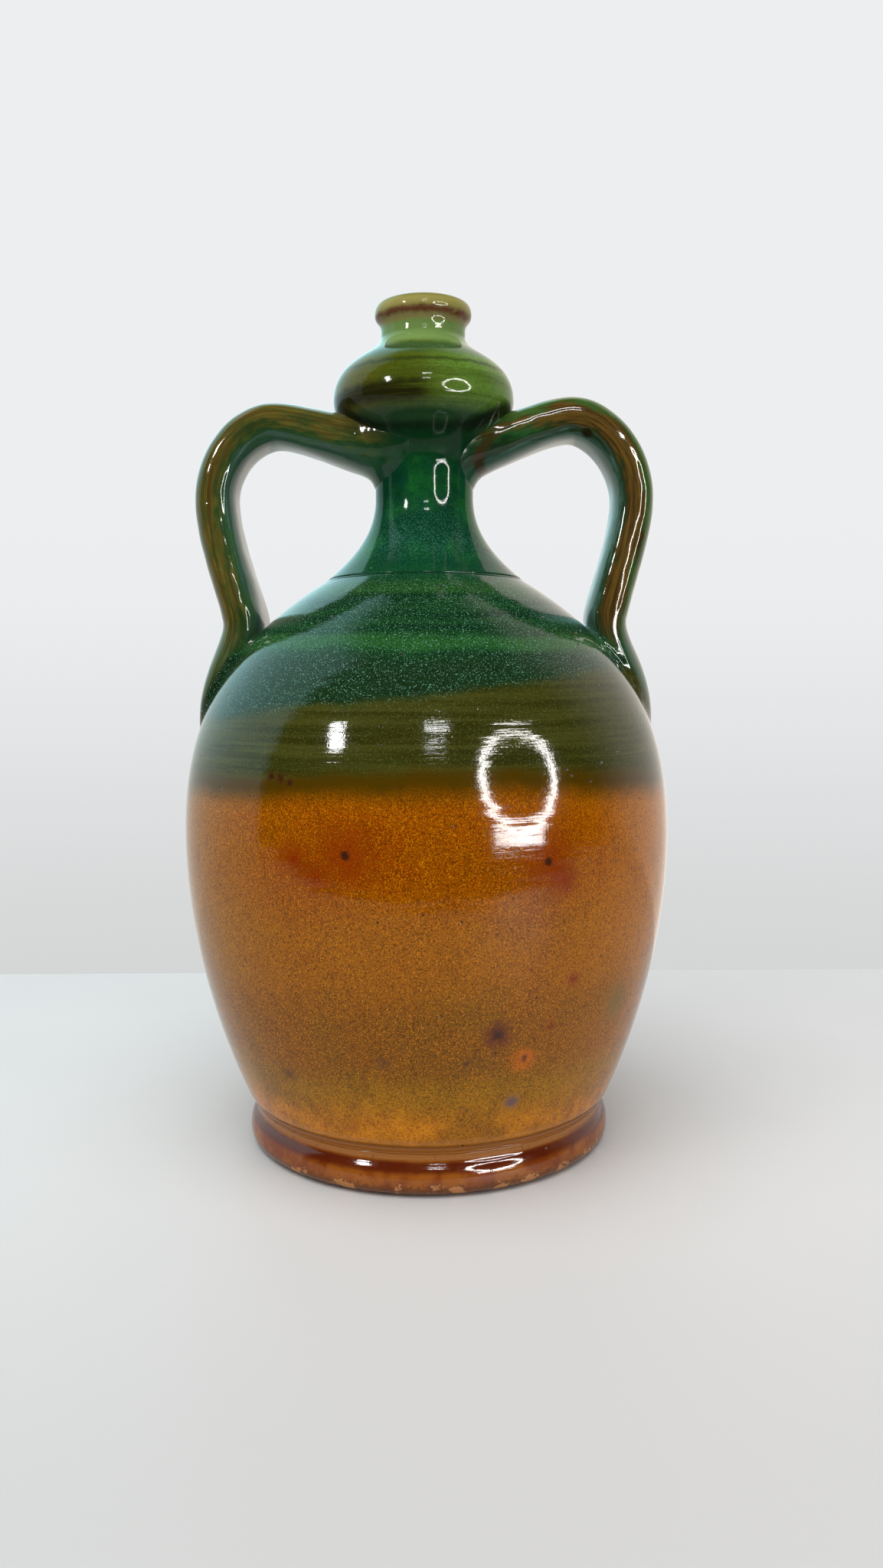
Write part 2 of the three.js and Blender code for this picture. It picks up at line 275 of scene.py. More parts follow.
def throw(name, outline, glaze, turns=192, wobble=0.0004):
    points = [(radius * MM, 0.0, height * MM) for radius, height in outline]
    return run_tree(name, line_mesh(name, points), wheel, Turns=turns, Wobble=wobble, Glaze=glaze)


# %% [markdown]
# ## Reading the glaze
#
# One run of glaze covers the whole jug: amber from the foot to above the belly, an olive band, emerald
# green over shoulder and neck, and a browner green on the gourd and lip. Painting each piece by itself
# would break the colour at the seams, so a single node group computes colour, roughness and relief from the
# point's place on the jug, and every piece's finish uses it. Heights in the group are in millimetres above
# the table, and `right` goes from -1 at the left of the jug to +1 at its right.

# %% The glaze group and its first values
glaze_tree = bpy.data.node_groups.new("jug_glaze", "ShaderNodeTree")
for output, kind in (("Colour", "Color"), ("Roughness", "Float"), ("Relief", "Float")):
    glaze_tree.interface.new_socket(output, in_out="OUTPUT", socket_type="NodeSocket" + kind)
g = Wires(glaze_tree)
point = g.place_in_mm()
axes = g.axes(point)
height = axes["Z"]
off_axis = g.math("MAXIMUM", g.vector("LENGTH", g.vector("MULTIPLY", point, (1.0, 1.0, 0.0))), 0.1)
right = g.math("DIVIDE", axes["X"], off_axis)
to_front = g.math("DIVIDE", g.times(axes["Y"], -1.0), off_axis)


def band(value, low, high, soft):
    return g.times(g.step(value, low - soft, low + soft), g.step(value, high + soft, high - soft))


count_nodes(glaze_tree)

# %% [markdown]
# Glaze runs and is brushed on while the pot turns, so its borders wander and its bands hold fine level
# streaks. A coarse noise bends the borders, a noise that is squeezed in height gives the streaks, and the
# two finest are the grain.

# %% Wandering borders and brushed streaks
drift = g.less(g.noise(point, 0.03, 3.0, 0.55), 0.5)
ragged = g.less(g.noise(point, 0.35, 2.0), 0.5)
border = g.plus(height, g.plus(g.times(drift, 7.0), g.times(ragged, 1.8)))
uneven_height = g.plus(height, g.times(ragged, 2.0))
brushed = g.noise(g.vector("MULTIPLY", point, (0.02, 0.02, 0.55)), 1.0, 4.0, 0.6)
cloudy = g.noise(point, 0.045, 4.0, 0.6)
grain = g.noise(point, 1.7, 2.0, 0.65)
blotch = g.noise(g.vector("MULTIPLY", point, (1.0, 1.0, 0.6)), 0.2, 3.0, 0.6)
fine = g.noise(point, 2.6, 1.0, 0.6)
count_nodes(glaze_tree)

# %% [markdown]
# The amber is warm brown, with redder clouds under the olive band, a brown belt low down, greenish gold
# above the foot and yellow where the glaze has run thick. The right side is painted lighter and more golden,
# as painted light, and the brightest grain specks are partly painted glints. Plain bands would look painted,
# so every coat has a soft border.

# %% Amber below, gold and yellow towards the foot
red_clouds = g.times(band(border, 88.0, 112.0, 8.0), g.step(cloudy, 0.4, 0.6))
less_at_sides = g.less(0.7, g.times(g.math("ABSOLUTE", right), 0.4))
brown_belt = g.times(band(border, 33.0, 60.0, 9.0), less_at_sides)
yellow = g.mix(g.step(blotch, 0.38, 0.62), tint(206, 126, 0), tint(178, 106, 0))
low_clouds = g.times(g.step(border, 74.0, 50.0), g.step(cloudy, 0.46, 0.66))
amber = g.mix(g.step(cloudy, 0.38, 0.62), tint(144, 72, 2), tint(158, 88, 4))
amber = g.wash(
    amber,
    (red_clouds, 0.8, (140, 56, 1)),
    (g.step(border, 92.0, 76.0), 0.7, (150, 90, 6)),
    (g.step(right, -0.4, -0.95), 0.6, (152, 110, 14)),
    # painted light: the right side of the amber is painted lighter and more golden
    (g.step(right, 0.4, 0.95), 0.7, (194, 118, 6)),
    (brown_belt, 1.0, (106, 67, 1)))
amber = g.mix(g.step(border, 36.0, 20.0), amber, yellow)
amber = g.wash(
    amber,
    (band(border, 25.0, 37.0, 5.0), 0.55, (142, 110, 0)),
    (g.step(blotch, 0.5, 0.7), 0.35, (112, 54, 0)),
    (low_clouds, 0.6, (106, 74, 4)),
    (g.step(grain, 0.47, 0.62), 0.62, (78, 38, 0)),
    # grain in the glaze; its bright yellow specks are partly painted glints
    (g.step(fine, 0.53, 0.66), 0.62, (218, 136, 10)))
count_nodes(glaze_tree)

# %% [markdown]
# Above the amber comes a brushed olive band and then the emerald shoulder with its pale specks. The olive's
# lower border is nearly level, and the green's slants upwards to the right.

# %% Olive band and green shoulder, with their slanting border
OLIVE_BORDER, GREEN_BORDER = 119.0, 141.0
GREEN_SLANT = 7.0
olive = g.mix(g.step(brushed, 0.34, 0.66), tint(44, 46, 8), tint(64, 66, 22))
olive = g.wash(olive, (g.step(fine, 0.54, 0.7), 0.35, (112, 112, 58)))
green = g.mix(g.step(brushed, 0.36, 0.64), tint(10, 44, 20), tint(22, 62, 26))
green = g.wash(
    green,
    (band(border, 153.2, 157.0, 1.2), 0.6, (44, 98, 40)),
    (g.step(border, 153.4, 149.0), 0.75, (26, 46, 22)),
    (band(height, 169.4, 173.4, 1.2), 0.4, (48, 92, 26)),
    (g.step(grain, 0.5, 0.64), 0.7, (4, 28, 12)),
    (g.step(fine, 0.6, 0.7), 0.75, (108, 162, 138)))
sagging = g.times(g.math("COSINE", g.times(right, 2.2)), 2.0)
to_olive = g.less(border, g.plus(OLIVE_BORDER, sagging))
to_green = g.less(border, g.plus(GREEN_BORDER, g.times(right, GREEN_SLANT)))
colour = g.wash(amber, (g.step(to_olive, -10.0, -2.0), 1.0, (74, 53, 2)))
colour = g.mix(g.step(to_olive, -2.0, 2.5), colour, olive)
colour = g.mix(g.step(to_green, -1.8, 1.8), colour, green)
count_nodes(glaze_tree)

# %% [markdown]
# The neck is a deeper, clearer green, painted darkest where it meets the gourd, as shade under the gourd.
# The gourd is olive on its left and grass green on its right, with brushed rings, a dark wave round its
# underside and a dark patch low on its left front, and its underside is painted a darker teal, as shade.
# The upper neck is paler, and on the lip the glaze is thin and breaks to red-brown.

# %% Neck, gourd, upper neck and lip
pale_specks = g.times(g.step(fine, 0.5, 0.66), g.step(height, 206.0, 184.0))
deep = g.mix(g.step(cloudy, 0.4, 0.6), tint(8, 58, 36), tint(26, 96, 40))
deep = g.wash(
    deep,
    (g.step(blotch, 0.52, 0.68), 0.5, (10, 66, 50)),
    (pale_specks, 0.5, (78, 140, 112)),
    (g.step(height, 186.0, 178.0), 0.7, (8, 50, 32)),
    (g.step(grain, 0.5, 0.66), 0.5, (6, 44, 22)),
    # painted shade: the neck is darkened just under the gourd
    (g.step(g.plus(height, g.times(ragged, 6.0)), 209.0, 216.0), 1.0, (16, 56, 28)))
to_grass = g.step(g.plus(right, g.times(drift, 1.6)), -0.2, 0.75)
thin_on_lip = g.times(band(uneven_height, 254.2, 255.7, 0.7), g.step(blotch, 0.3, 0.5))
wave = g.plus(g.plus(height, g.times(drift, 6.0)), g.times(g.step(to_front, 0.35, 0.95), 7.0))
patch = g.times(band(uneven_height, 225.8, 231.2, 1.4), g.step(g.plus(right, drift), 0.25, -0.1))
gourd = g.mix(to_grass, tint(76, 88, 20), tint(98, 134, 52))
gourd = g.wash(
    gourd,
    (g.step(brushed, 0.42, 0.62), 0.5, (54, 64, 12)),
    (g.step(right, -0.3, -0.9), 0.7, (104, 90, 36)),
    (g.step(grain, 0.5, 0.64), 0.4, (40, 48, 8)),
    (band(uneven_height, 240.2, 244.2, 1.8), 0.75, (40, 76, 44)),
    (band(uneven_height, 237.0, 237.9, 0.7), 0.75, (34, 44, 16)),
    (g.step(uneven_height, 243.6, 247.0), 1.0, (110, 138, 74)),
    (g.step(height, 251.8, 253.0), 1.0, (132, 126, 74)),
    (g.step(height, 255.0, 256.6), 1.0, (148, 140, 76)),
    (g.step(height, 258.0, 259.4), 1.0, (118, 112, 54)),
    (thin_on_lip, 0.9, (104, 50, 26)),
    # painted shade: the gourd's underside is darkened to teal
    (g.step(uneven_height, 227.0, 222.5), 0.85, (24, 60, 40)),
    (band(wave, 223.0, 227.8, 1.4), 0.9, (18, 24, 14)),
    (g.times(patch, g.step(brushed, 0.3, 0.55)), 1.0, (36, 36, 12)))
count_nodes(glaze_tree)

# %% [markdown]
# The gourd is laid over the neck and the neck over the shoulder. At the very bottom of the belly the glaze
# is thin and tan, and the groove above the foot holds a dark brown band of painted shadow under the belly's
# edge.

# %% One colour for the whole jug
deep = g.mix(g.step(g.plus(height, g.times(ragged, 3.0)), 217.0, 221.0), deep, gourd)
colour = g.mix(g.step(height, 171.0, 178.0), colour, deep)
colour = g.wash(
    colour,
    (g.step(height, 18.4, 15.9), 0.55, (178, 118, 52)),
    (g.step(height, 15.4, 14.4), 1.0, (150, 90, 32)),
    # painted shadow: the dark brown band in the groove under the belly's edge
    (band(height, 14.4, 15.4, 0.5), 0.8, (112, 62, 6)))
count_nodes(glaze_tree)

# %% [markdown]
# ## Iron spots
#
# Specks of iron in the clay burn through the amber as dark dots, some with a rust halo. They have fixed
# places, so each one is a distance from a known point on the wall, given as its angle round the jug from
# the front (to the right is positive) and its height. A formula gives the wall's radius there.

# %% Iron spots on the belly
RUST, BURNT, DULL = (132, 44, 3), (46, 28, 18), (104, 66, 26)
IRON_SPOTS = [  # angle, height, dot and halo in degrees and millimetres, colours of halo and dot
    (-15.5, 99.7, 1.0, 13.0, RUST, BURNT), (25.8, 97.2, 1.0, 12.0, RUST, BURNT),
    (16.1, 49.8, 2.2, 5.5, (96, 44, 24), (58, 32, 28)),
    (23.2, 41.4, 1.3, 5.2, (196, 100, 10), BURNT), (23.2, 41.4, 0.2, 0.6, BURNT, (170, 130, 80)),
    (28.9, 50.7, 0.6, 2.6, RUST, BURNT), (-9.7, 42.0, 0.9, 3.4, DULL, BURNT),
    (22.0, 28.2, 2.0, 4.0, (150, 100, 40), (100, 80, 80)), (-27.0, 98.0, 0.3, 8.0, RUST, RUST),
    (-22.0, 93.5, 0.2, 6.0, RUST, RUST), (29.5, 91.5, 0.3, 6.0, RUST, RUST),
    (33.6, 63.4, 0.5, 3.4, RUST, BURNT), (45.0, 57.0, 0.5, 1.6, DULL, BURNT),
    (50.0, 52.5, 0.3, 9.0, (118, 94, 32), (118, 94, 32)), (-5.4, 46.3, 0.5, 2.0, DULL, BURNT),
    (9.6, 41.8, 0.7, 2.4, DULL, BURNT), (-36.0, 34.5, 0.8, 4.0, DULL, (84, 54, 26)),
    (10.0, 27.0, 0.4, 1.6, DULL, BURNT), (-33.5, 119.6, 0.7, 1.8, (76, 38, 12), BURNT),
    (-31.0, 119.0, 0.8, 2.0, (76, 38, 12), BURNT), (-28.5, 118.2, 0.6, 1.6, (76, 38, 12), BURNT),
    (196.0, 88.0, 1.3, 9.0, RUST, BURNT), (150.0, 60.0, 1.0, 6.0, RUST, BURNT),
    (232.0, 46.0, 0.9, 4.0, RUST, BURNT), (108.0, 75.0, 0.8, 6.0, RUST, BURNT),
]
WIDEST_HALO = 13.0
FULLEST = 96.0
FOOT_DRAWN_IN, FOOT_REACH, FOOT_POWER = 18.9, 83.0, 2.35
SHOULDER_DRAWN_IN, SHOULDER_REACH, SHOULDER_POWER = 30.0, 68.0, 2.6


def wall_radius(z):
    below = max(0.0, FULLEST - z) / FOOT_REACH
    above = max(0.0, z - FULLEST) / SHOULDER_REACH
    return BELLY_RADIUS - FOOT_DRAWN_IN * below ** FOOT_POWER - SHOULDER_DRAWN_IN * above ** SHOULDER_POWER


scatter = g.plus(g.times(ragged, 2.0), g.times(g.less(grain, 0.5), 1.6))
halo_scatter = g.plus(g.times(ragged, 6.0), g.times(g.less(grain, 0.5), 18.0))
for angle, spot_height, dot, halo, halo_shade, dot_shade in IRON_SPOTS:
    spot_radius, bearing = wall_radius(spot_height), math.radians(angle)
    centre = (spot_radius * math.sin(bearing), -spot_radius * math.cos(bearing), spot_height)
    apart = g.vector("DISTANCE", point, centre)
    away = g.plus(apart, g.times(halo_scatter, halo / WIDEST_HALO))
    colour = g.wash(
        colour,
        (g.step(away, halo, dot), 0.75, halo_shade),
        (g.step(g.plus(apart, scatter), dot + 0.7, dot * 0.5), 0.9, dot_shade))
print("iron spots:", len(IRON_SPOTS))

# %% [markdown]
# ## Gloss and relief
#
# Lead-like glaze is a thin glass: very smooth, but with pin-pricks, faint throwing rings, brush marks that
# are strongest in the olive band, and a slight orange-peel. The group adds these up as a height in
# millimetres for the Bump node.

# %% Roughness and relief of the glaze
rings = g.math("SINE", g.plus(g.times(height, 1.5), g.times(cloudy, 14.0)))
olive_band = band(border, OLIVE_BORDER, GREEN_BORDER, 5.0)
brush_marks = g.times(brushed, g.plus(1.0, g.times(olive_band, 0.5)))
olive_waves = g.times(ragged, olive_band)
pin_holes = g.add("ShaderNodeTexVoronoi", {"Vector": point, "Scale": 0.2, "Randomness": 1.0}).outputs
some = g.step(g.get("ShaderNodeSeparateColor", {0: pin_holes["Color"]}), 0.55, 0.6)
pit = g.times(g.step(pin_holes["Distance"], 0.11, 0.05), some)
RELIEF = [  # what stands up or lies low, and by how many millimetres
    (rings, 0.008), (brush_marks, 0.045), (grain, 0.009), (olive_waves, 0.03), (fine, 0.005), (pit, -0.15),
]
relief = 0.0
for layer, depth in RELIEF:
    relief = g.plus(relief, g.times(layer, depth))
colour = g.wash(colour, (pit, 0.75, (46, 28, 10)))
roughness = g.plus(0.05, g.times(g.step(grain, 0.4, 0.8), 0.1))
g.add("NodeGroupOutput", {"Colour": colour, "Roughness": roughness, "Relief": relief})
count_nodes(glaze_tree)

# %% [markdown]
# A finish is the group plus a Principled shader, and a function that may change colour, relief and
# roughness on their way there. How strongly the clear glass of the glaze mirrors is one number for each
# finish. The neck mirrors less than the belly and is smoother.


# %% A finish made from the glaze
def new_finish(name):
    finish = bpy.data.materials.new(name)
    finish.use_nodes = True
    finish.node_tree.nodes.clear()
    return finish, Wires(finish.node_tree)


def glaze_finish(name, recolour=None, ior=1.3):
    finish, f = new_finish(name)
    shared = f.add("ShaderNodeGroup", node_tree=glaze_tree).outputs
    shade, bumps, rough = shared["Colour"], shared["Relief"], shared["Roughness"]
    if recolour:
        shade, bumps, rough = recolour(f, shade, bumps, rough)
    bump = f.get("ShaderNodeBump", {"Height": bumps, "Distance": MM, "Strength": 1.0})
    f.surface("ShaderNodeBsdfPrincipled", {
        "Base Color": shade, "Roughness": rough, "Normal": bump, "IOR": ior})
    return finish


def smoother(f, shade, bumps, rough):
    return shade, f.times(bumps, 0.5), rough


belly_glaze = glaze_finish("amber_to_green_glaze")
neck_glaze = glaze_finish("green_gourd_glaze", smoother, ior=1.23)
print("finishes:", belly_glaze.name, neck_glaze.name)

# %% [markdown]
# ## Belly
#
# The belly swells from the groove above the foot, is fullest a third of the way up and closes to a collar.
# Its side is two long bends, the way a potter's rib shapes it, so the outline is made of Bezier bends
# rather than many measured points: reflections stay smooth. The wall goes over the collar's rim and down
# inside to the floor.


# %% Belly: outline and throw
def bend(a, b, c, d, steps):
    points = []
    for i in range(1, steps + 1):
        t = i / steps
        weights = ((1 - t) ** 3, 3 * t * (1 - t) ** 2, 3 * t * t * (1 - t), t ** 3)
        points.append(tuple(sum(k * p[axis] for k, p in zip(weights, (a, b, c, d))) for axis in (0, 1)))
    return points


def joined(start, *bends):
    points = []
    for b, c, end, steps in bends:
        points += bend(start, b, c, end, steps)
        start = end
    return points


def inside_of(outline, wall):
    inner = []
    for i, (r, z) in enumerate(outline):
        (r0, z0), (r1, z1) = outline[max(i - 1, 0)], outline[min(i + 1, len(outline) - 1)]
        length = math.hypot(r1 - r0, z1 - z0)
        inner.append((r - (z1 - z0) / length * wall, z + (r1 - r0) / length * wall))
    return inner


WALL = 6.0
SPIGOT_RADIUS, SPIGOT_BOTTOM = 43.2, 4.0
WALL_BOTTOM, FLOOR, FLOOR_RADIUS = 13.0, 14.0, 44.0
COLLAR_TOP, COLLAR_BORE = 175.3, 23.0
groove = [(56.3, 13.1), (56.7, 13.8), (57.0, 14.4), (57.25, 14.9), (57.55, 15.3), (57.85, 15.6)]
belly_side = joined(
    (58.1, 15.8),
    ((67.3, 36.4), (BELLY_RADIUS, 66.4), (BELLY_RADIUS, FULLEST), 80),
    ((BELLY_RADIUS, 130.0), (64.8, 154.7), (31.3, 175.2), 90))
belly_inside = inside_of(belly_side[2::4], WALL)[::-1]
belly_outline = [(0.0, SPIGOT_BOTTOM), (SPIGOT_RADIUS, SPIGOT_BOTTOM), (SPIGOT_RADIUS, WALL_BOTTOM)]
belly_outline += [(56.1, WALL_BOTTOM)] + groove + belly_side
belly_outline += [(31.15, COLLAR_TOP), (30.9, COLLAR_TOP), (COLLAR_BORE, COLLAR_TOP)]
belly_outline += belly_inside + [(FLOOR_RADIUS, FLOOR), (0.0, FLOOR)]
belly = throw("belly", belly_outline, belly_glaze)

# %% [markdown]
# ## Neck with its gourd
#
# The neck is a second throw: it flares up from the collar, narrows to a waist, swells into a hollow gourd
# and ends in a short upper neck with a rolled lip. Its outline runs up the outside, over the lip and down
# the bore, and closes on itself at the seam.

# %% Neck: outline and throw
NECK_BOTTOM = 175.9
WAIST, WAIST_BORE = 15.3, 10.3  # radii outside and inside, here and below
GOURD, GOURD_BORE, GOURD_HEIGHT = 28.0, 23.0, 230.5
UPPER, MOUTH_BORE = 13.0, 9.5
LIP, LIP_HEIGHT = 15.0, 256.8
neck_side = joined(
    (30.4, 176.0),
    ((20.8, 184.0), (WAIST, 191.5), (WAIST, 201.5), 44),
    ((WAIST, 203.0), (WAIST, 205.0), (WAIST, 206.5), 8),
    ((WAIST, 219.5), (GOURD, 221.5), (GOURD, GOURD_HEIGHT), 40),
    ((GOURD, 242.5), (15.3, 243.3), (UPPER, 249.5), 44))
lip_and_bore = joined(
    (UPPER, 249.5),
    ((UPPER, 250.0), (UPPER, 251.0), (UPPER, 251.5), 4),
    ((UPPER, 254.7), (LIP, 254.7), (LIP, LIP_HEIGHT), 12),
    ((LIP, 259.0), (13.9, JUG_HEIGHT), (12.0, JUG_HEIGHT), 12),
    ((10.3, JUG_HEIGHT), (MOUTH_BORE, 259.0), (MOUTH_BORE, LIP_HEIGHT), 12),
    ((MOUTH_BORE, 252.0), (MOUTH_BORE, 248.0), (MOUTH_BORE, 244.5), 8),
    ((11.8, 238.3), (GOURD_BORE, 240.0), (GOURD_BORE, GOURD_HEIGHT), 20),
    ((GOURD_BORE, 221.5), (WAIST_BORE, 219.5), (WAIST_BORE, 206.5), 20),
    ((WAIST_BORE, 202.0), (WAIST_BORE, 199.0), (WAIST_BORE, 196.5), 6),
    ((WAIST_BORE, 186.5), (13.0, 184.1), (COLLAR_BORE, NECK_BOTTOM), 20))
neck_outline = [(COLLAR_BORE, NECK_BOTTOM), (30.2, NECK_BOTTOM), (30.4, 175.95)] + neck_side + lip_and_bore
neck = throw("neck", neck_outline, neck_glaze, turns=144, wobble=0.0003)

# %% [markdown]
# ## Foot ring
#
# The foot is a flanged ring: its edge is rounded, its face leans in and a cove leads up to the belly. Glaze
# is thick and dark on the face, and a painted reflection of the dim room in front makes it darker still. The
# top of the face, where it turns up, is painted lighter, as painted light. Below the face the glaze is thin,
# and the lower edge is rubbed and chipped down to the pale clay, which is dull. A coarse noise held to the
# lowest millimetres decides where the chips are.


# %% Foot: finish, outline and throw
def rubbed_foot(f, shade, bumps, rough):
    here = f.place_in_mm()
    up = f.axes(here)["Z"]
    blotch = f.noise(here, 0.12, 3.0)
    speck = f.noise(here, 0.8, 2.0)
    # the face's dark band: thick glaze, with a painted reflection of the dim room in front
    thick_glaze_and_mirrored_dark = f.times(f.step(up, 6.4, 8.0), f.step(up, 10.4, 9.2))
    uneven_up = f.plus(up, f.times(f.less(speck, 0.5), 5.0))
    chip = f.times(f.step(f.noise(here, 0.16, 3.0), 0.52, 0.56), f.step(uneven_up, 3.8, 3.2))
    bare = f.step(up, 0.9, 0.3)
    red = f.mix(f.step(blotch, 0.4, 0.62), tint(124, 58, 16), tint(150, 84, 26))
    red = f.wash(
        red,
        # painted light: the top of the face, where it turns up, is painted lighter
        (f.step(up, 9.4, 11.0), 1.0, (160, 100, 38)),
        (thick_glaze_and_mirrored_dark, 0.85, (84, 24, 8)),
        (f.step(uneven_up, 4.2, 2.6), 0.8, (96, 54, 24)),
        (f.step(speck, 0.58, 0.74), 0.4, (70, 32, 12)),
        (chip, 1.0, (176, 116, 64)),
        (bare, 1.0, (150, 96, 60)))
    rough = f.plus(rough, f.times(f.math("MAXIMUM", chip, bare), 0.5))
    return red, f.less(bumps, f.times(chip, 0.25)), rough


foot_glaze = glaze_finish("iron_red_foot_glaze", rubbed_foot, ior=1.36)
FOOT_RADIUS, FOOT_BORE, FOOT_TOP = 57.7, 44.0, 12.2
foot_rest = (51.4, 0.0)
foot_side = joined(
    foot_rest,
    ((54.8, 0.0), (FOOT_RADIUS, 0.8), (FOOT_RADIUS, 3.6), 14),
    ((FOOT_RADIUS, 6.2), (56.9, 8.0), (55.9, 9.2), 20),
    ((55.2, 10.0), (55.2, 11.2), (55.6, 12.1), 12))
foot_outline = [(FOOT_BORE, 2.0), (46.0, 0.0), foot_rest] + foot_side
foot_outline += [(55.4, FOOT_TOP), (FOOT_BORE, FOOT_TOP), (FOOT_BORE, 2.0)]
foot = throw("foot_ring", foot_outline, foot_glaze)

# %% [markdown]
# ## Slip in the seams
#
# Liquid clay closes the two round seams. It is wiped off almost flush, so a seam reads only as a fine line.
# Two more small throws make them. At the neck the glaze has pooled and is a little darker, and at the foot
# the foot's own glaze runs over the slip.


# %% Slip rings
def pooled(f, shade, bumps, rough):
    return f.mix(0.3, shade, tint(10, 34, 20)), bumps, rough


def slip_outline(bore, low, a, b, high):
    return [(bore, low[1]), low] + bend(low, a, b, high, 6) + [(bore, high[1]), (bore, low[1])]


pooled_glaze = glaze_finish("pooled_glaze", pooled)
neck_seam = [(31.0, COLLAR_TOP), (31.0, 175.45), (30.7, 175.75), (30.4, NECK_BOTTOM)]
neck_slip = throw("neck_slip", slip_outline(COLLAR_BORE, *neck_seam), pooled_glaze, turns=144)
foot_seam = [(55.5, FOOT_TOP), (55.8, 12.4), (56.1, 12.8), (56.0, WALL_BOTTOM)]
foot_slip = throw("foot_slip", slip_outline(SPIGOT_RADIUS, *foot_seam), foot_glaze)

# %% [markdown]
# ## Pulled handles
#
# Each handle is a strap of clay pulled by hand, bent over and pressed on: its upper root is smeared into
# the neck under the gourd, and its tail is thumbed flat on the shoulder. A curve with a bevel would give
# the strap but not the smeared ends. So a second tree sweeps a section along the strap's middle line and
# then presses its ends on the wall. The section is an oval that a power of its sine and cosine makes more
# or less boxy.

# %% The handle tree: middle line, section and place
puller = bpy.data.node_groups.new("pulled_and_pressed_on", "GeometryNodeTree")
w, given = inputs_of(
    puller, Line="Geometry", Wall="Object", Side="Float", Sides="Int", Rings="Int",
    Outer_crown="Float", Inner_flatness="Float", Tail_edge="Float", Smear="Float",
    Blend_under="Float", Blend_side="Float", Blend_top="Float", Blend_tail="Float", Bury="Float",
    Strokes="Int", Glaze="Material")
puller.interface.new_socket("Handle", in_out="OUTPUT", socket_type="NodeSocketGeometry")
line = w.get("GeometryNodeMeshToCurve", {0: given["Line"]})
grid = w.add("GeometryNodeMeshGrid", {
    "Size X": 1.0, "Size Y": 1.0, "Vertices X": w.plus(given["Sides"], 1.0), "Vertices Y": given["Rings"]})
index = w.get("GeometryNodeInputIndex")
along = w.math("DIVIDE", w.math("MODULO", index, given["Rings"]), w.less(given["Rings"], 1.0))
column = w.math("FLOOR", w.math("DIVIDE", index, given["Rings"]))
turn = w.times(column, w.math("DIVIDE", math.tau, given["Sides"]))


def kept_value(name):
    return w.add("GeometryNodeInputNamedAttribute", {"Name": name}, data_type="FLOAT").outputs["Attribute"]


def on_line(name):
    inputs = {"Curves": line, "Value": kept_value(name), "Factor": along}
    settings = {"mode": "FACTOR", "use_all_curves": True, "data_type": "FLOAT"}
    return w.add("GeometryNodeSampleCurve", inputs, **settings).outputs


def eased(value):
    return w.times(w.math("SIGN", value), w.math("POWER", w.math("ABSOLUTE", value), squareness))


middle, thickness, tail = on_line("width"), on_line("thickness")["Value"], on_line("tail")["Value"]
width = middle["Value"]
edge, outer = w.math("COSINE", turn), w.math("SINE", turn)
after_knee = w.step(along, 0.72, 0.86)
near_root = w.step(along, 0.26, 0.06)
crown = w.plus(given["Outer crown"], w.times(after_knee, w.less(given["Tail edge"], given["Outer crown"])))
flatness = w.plus(given["Inner flatness"], w.times(near_root, w.less(0.95, given["Inner flatness"])))
is_inner = w.math("LESS_THAN", outer, 0.0)
squareness = w.plus(crown, w.times(is_inner, w.less(flatness, crown)))
across = w.join_xyz(0.0, given["Side"], 0.0)
outward = w.vector("NORMALIZE", w.vector("CROSS_PRODUCT", middle["Tangent"], across))
section = w.vector(
    "ADD",
    w.scaled(across, w.times(eased(edge), w.times(width, 0.5))),
    w.scaled(outward, w.times(eased(outer), w.times(thickness, 0.5))))
uneven = w.noise(w.vector("ADD", middle["Position"], section), 55.0, 2.0)
section = w.scaled(section, w.plus(1.0, w.times(w.less(uneven, 0.5), 0.12)))
on_strap = w.vector("ADD", middle["Position"], section)
count_nodes(puller)

# %% [markdown]
# Pressing on needs each point's distance d from the wall. Close to the wall the point is pushed outwards by
# (sqrt(k) - sqrt(d))^2, which is the fillet that a finger of radius k leaves, and it is laid back at its
# distance from the wall. What would be inside the wall is kept just under its surface. The finger's radius
# `reach` differs under the strap, at its sides, on top and at the tail.

# %% The handle tree: pressing the ends on the wall
wall = w.add("GeometryNodeObjectInfo", {"Object": given["Wall"]}, transform_space="ORIGINAL")
wall_mesh = wall.outputs["Geometry"]


def nearest_on_wall(place_now):
    inputs = {0: wall_mesh, "Sample Position": place_now}
    near = w.add("GeometryNodeProximity", inputs, target_element="FACES")
    inputs = {"Mesh": wall_mesh, "Value": w.get("GeometryNodeInputNormal"), "Sample Position": place_now}
    facing = w.add("GeometryNodeSampleNearestSurface", inputs, data_type="FLOAT_VECTOR")
    return near.outputs["Position"], w.vector("NORMALIZE", facing.outputs["Value"])


spot, facing = nearest_on_wall(on_strap)
distance = w.vector("DOT_PRODUCT", w.vector("SUBTRACT", on_strap, spot), facing)
under = w.math("POWER", w.math("MAXIMUM", w.times(outer, -1.0), 0.0), 2.0)
top = w.math("POWER", w.math("MAXIMUM", outer, 0.0), 2.0)
beside = w.math("POWER", edge, 2.0)
smeared = w.times(beside, w.step(outer, 0.45, -0.35))
reach = w.plus(w.times(under, given["Blend under"]), w.times(top, given["Blend top"]))
reach = w.plus(reach, w.times(beside, given["Blend side"]))
reach = w.plus(reach, w.times(smeared, given["Smear"]))
reach = w.plus(w.times(reach, w.less(1.0, tail)), w.times(tail, given["Blend tail"]))
held = w.math("MINIMUM", w.math("MAXIMUM", distance, 0.0), reach)
push = w.math("POWER", w.less(w.math("SQRT", reach), w.math("SQRT", held)), 2.0)
pushed = w.vector("ADD", on_strap, w.scaled(w.vector("NORMALIZE", section), push))
spot_again, facing_again = nearest_on_wall(pushed)
